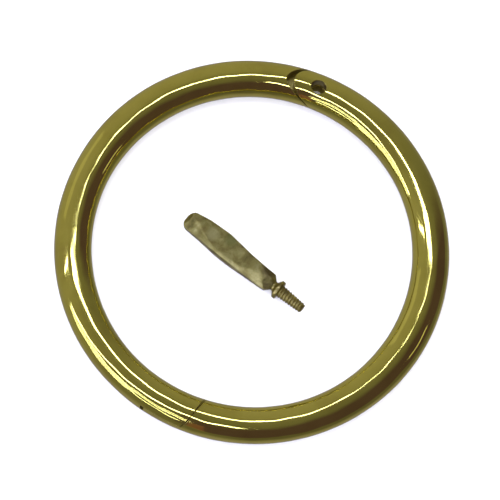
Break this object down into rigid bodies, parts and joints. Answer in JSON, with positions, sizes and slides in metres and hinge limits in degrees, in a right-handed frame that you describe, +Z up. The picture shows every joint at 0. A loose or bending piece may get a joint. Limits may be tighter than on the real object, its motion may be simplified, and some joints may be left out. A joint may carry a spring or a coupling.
{
  "type": "hinged livestock nose ring",
  "caption": "Hinged ring of round brass wire with a half-lap closure, its locking screw with break-off handle lying loose inside the hoop.",
  "frame": {"origin": "centre of the hoop, on the surface that the ring lies on", "axes": "+Z up through the hoop, away from the surface it lies on; +X and +Y in the plane of the hoop, with the lap joint at 68.4 degrees and the hinge rivet at 242 degrees anticlockwise from +X"},
  "size_m": [0.0762, 0.0762, 0.0071],
  "materials": {
    "ring_brass": "polished",
    "rivet_brass": "polished",
    "screw_brass": "turned",
    "handle_brass": "cast"
  },
  "bodies": {
    "left": {"left_half": "ring_brass", "hinge_rivet": "rivet_brass"},
    "right": {"right_half": "ring_brass"},
    "screw": {"locking_screw": "screw_brass"},
    "handle": {"break_off_handle": "handle_brass"}
  },
  "joints": [
    {"name": "ring_hinge", "type": "hinge", "parent": "left", "child": "right", "pos_m": [-0.01621, -0.03049, 0.00357], "axis": [0, 0, -1], "range_deg": [0, 95]},
    {"name": "screw_lift", "type": "slide", "parent": "left", "child": "screw", "axis": [0, 0, 1], "range_m": [0, 0.03]},
    {"name": "handle_snap", "type": "hinge", "parent": "screw", "child": "handle", "pos_m": [0.00428, -0.00659, 0.00288], "axis": [0.6334, 0.7738, 0], "range_deg": [0, 45]}
  ]
}
